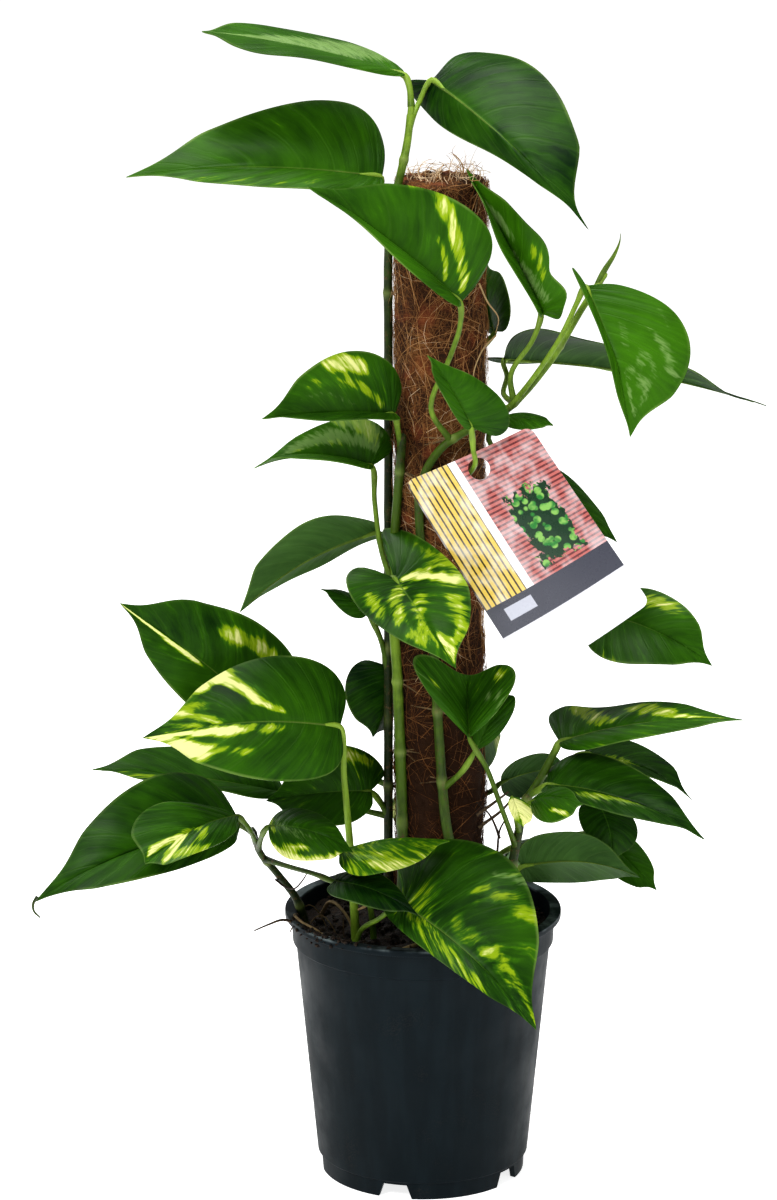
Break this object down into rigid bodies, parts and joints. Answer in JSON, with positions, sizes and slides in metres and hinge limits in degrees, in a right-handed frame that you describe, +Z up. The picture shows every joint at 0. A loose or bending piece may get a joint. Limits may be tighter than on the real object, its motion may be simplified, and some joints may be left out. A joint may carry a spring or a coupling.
{
  "type": "potted golden pothos on a coir pole",
  "caption": "Young climbing pothos with heart-shaped variegated leaves on a coir pole, in a round plastic nursery pot with a plain printed card hung on one leaf stalk.",
  "frame": {"origin": "on the ground, under the middle of the whole plant's bounding box; the pot's own axis stands 6 mm to its right and 2 mm behind it", "axes": "+Z up along the pole, -Y the front that the card faces, +X to the right seen from the front"},
  "size_m": [0.3415, 0.2469, 0.553],
  "materials": {
    "pot_plastic": "charcoal injection-moulded plastic, satin, with a slightly brighter worn lip",
    "soil": "damp dark peat with fibres, crumbs and fine roots",
    "coir": "matted red-brown coconut fibre, rough and frayed at the top",
    "timber": "plain untreated round stake",
    "stem": "smooth waxy green stem, browner with age, with pale node rings",
    "leaf": "glossy mid to dark green with cream-yellow streaks and patches, paler and matter underneath",
    "card": null
  },
  "bodies": {
    "root": {"pot": "pot_plastic", "soil": "soil", "coir_sleeve": "coir", "stake": "timber", "vine_left": "stem", "vine_front": "stem", "vine_tall": "stem", "vine_back": "stem", "shoot_left": "stem", "shoot_right": "stem", "leaf_top_young": "leaf", "leaf_top_right": "leaf", "leaf_top_left": "leaf", "leaf_pole_front": "leaf", "leaf_pole_right": "leaf", "leaf_back_small": "leaf", "leaf_right_high": "leaf", "leaf_right_long": "leaf", "leaf_over_tag": "leaf", "leaf_tag_top": "leaf", "leaf_left_high": "leaf", "leaf_left_high_low": "leaf", "leaf_left_mid": "leaf", "leaf_centre": "leaf", "leaf_centre_behind": "leaf", "leaf_left_far": "leaf", "leaf_left_large": "leaf", "leaf_left_narrow": "leaf", "leaf_left_low": "leaf", "leaf_left_low_small": "leaf", "leaf_left_inner": "leaf", "leaf_low_left": "leaf", "leaf_low_mid": "leaf", "leaf_low_front": "leaf", "leaf_low_right": "leaf", "leaf_right_tip": "leaf", "leaf_right_hang": "leaf", "leaf_right_upper": "leaf", "leaf_right_under": "leaf", "leaf_right_lower": "leaf", "leaf_right_small": "leaf", "leaf_pale_tip": "leaf", "leaf_butterfly": "leaf", "leaf_behind_butterfly": "leaf", "leaf_left_dark": "leaf", "leaf_tag_right": "leaf", "leaf_tag_behind": "leaf", "leaf_mid_behind": "leaf", "leaf_low_dark": "leaf", "leaf_rear_top": "leaf", "leaf_rear_high": "leaf", "leaf_rear_mid": "leaf", "leaf_rear_left": "leaf", "leaf_rear_right": "leaf", "leaf_rear_low": "leaf", "leaf_rear_low_right": "leaf", "card": "card"}
  },
  "joints": []
}
